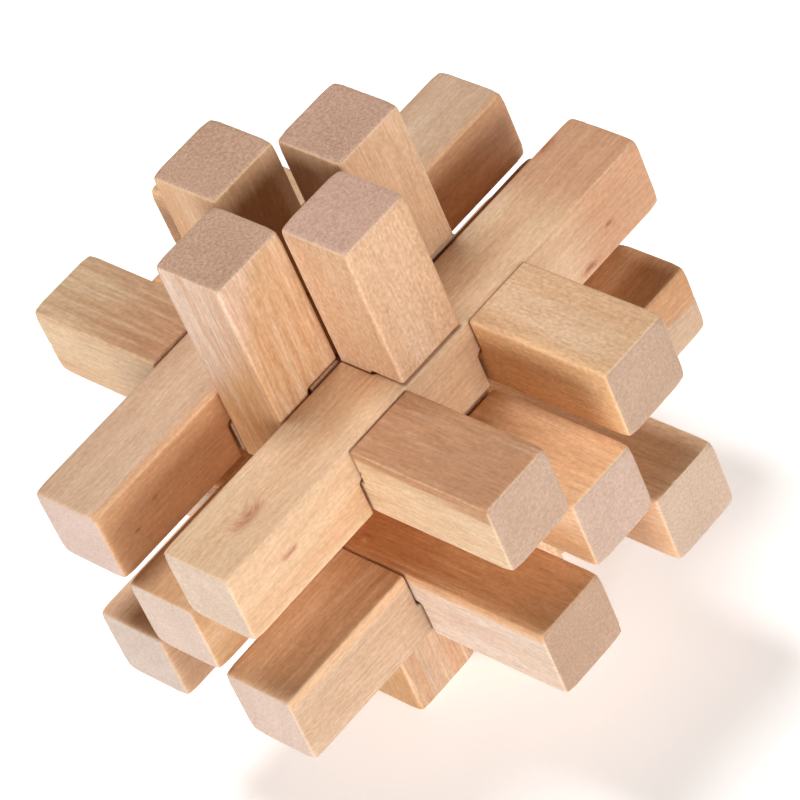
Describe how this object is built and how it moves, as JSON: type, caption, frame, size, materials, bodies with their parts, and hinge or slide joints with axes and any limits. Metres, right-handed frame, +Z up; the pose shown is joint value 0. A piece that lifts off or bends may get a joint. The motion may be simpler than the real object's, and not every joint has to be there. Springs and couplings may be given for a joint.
{
  "type": "wooden burr puzzle",
  "caption": "Wooden burr puzzle: identical square notched sticks interlock in a three-way star; one group of sticks slides sideways to start taking it apart.",
  "frame": {"origin": "middle of the puzzle's footprint, on the surface that it stands on", "axes": "+Z up along the four uprights; +Y from front to back along the rails; +X from left to right along the beams"},
  "size_m": [0.0702, 0.0702, 0.07],
  "materials": {
    "rail_wood": "sanded bare hardwood, satin",
    "beam_wood": "sanded bare hardwood, satin",
    "upright_wood": "sanded bare hardwood, satin"
  },
  "bodies": {
    "outer_frame": {"rail_top_left": "rail_wood", "rail_top_right": "rail_wood", "rail_bottom_left": "rail_wood", "rail_bottom_right": "rail_wood", "beam_top_front": "beam_wood", "beam_top_back": "beam_wood", "beam_bottom_front": "beam_wood", "beam_bottom_back": "beam_wood", "upright_front": "upright_wood", "upright_back": "upright_wood"},
    "key_group": {"upright_left": "upright_wood", "upright_right": "upright_wood", "rail_core": "rail_wood", "beam_core": "beam_wood"}
  },
  "joints": [
    {"name": "key_slide", "type": "slide", "parent": "outer_frame", "child": "key_group", "axis": [-1, 0, 0], "range_m": [0, 0.0099]}
  ]
}
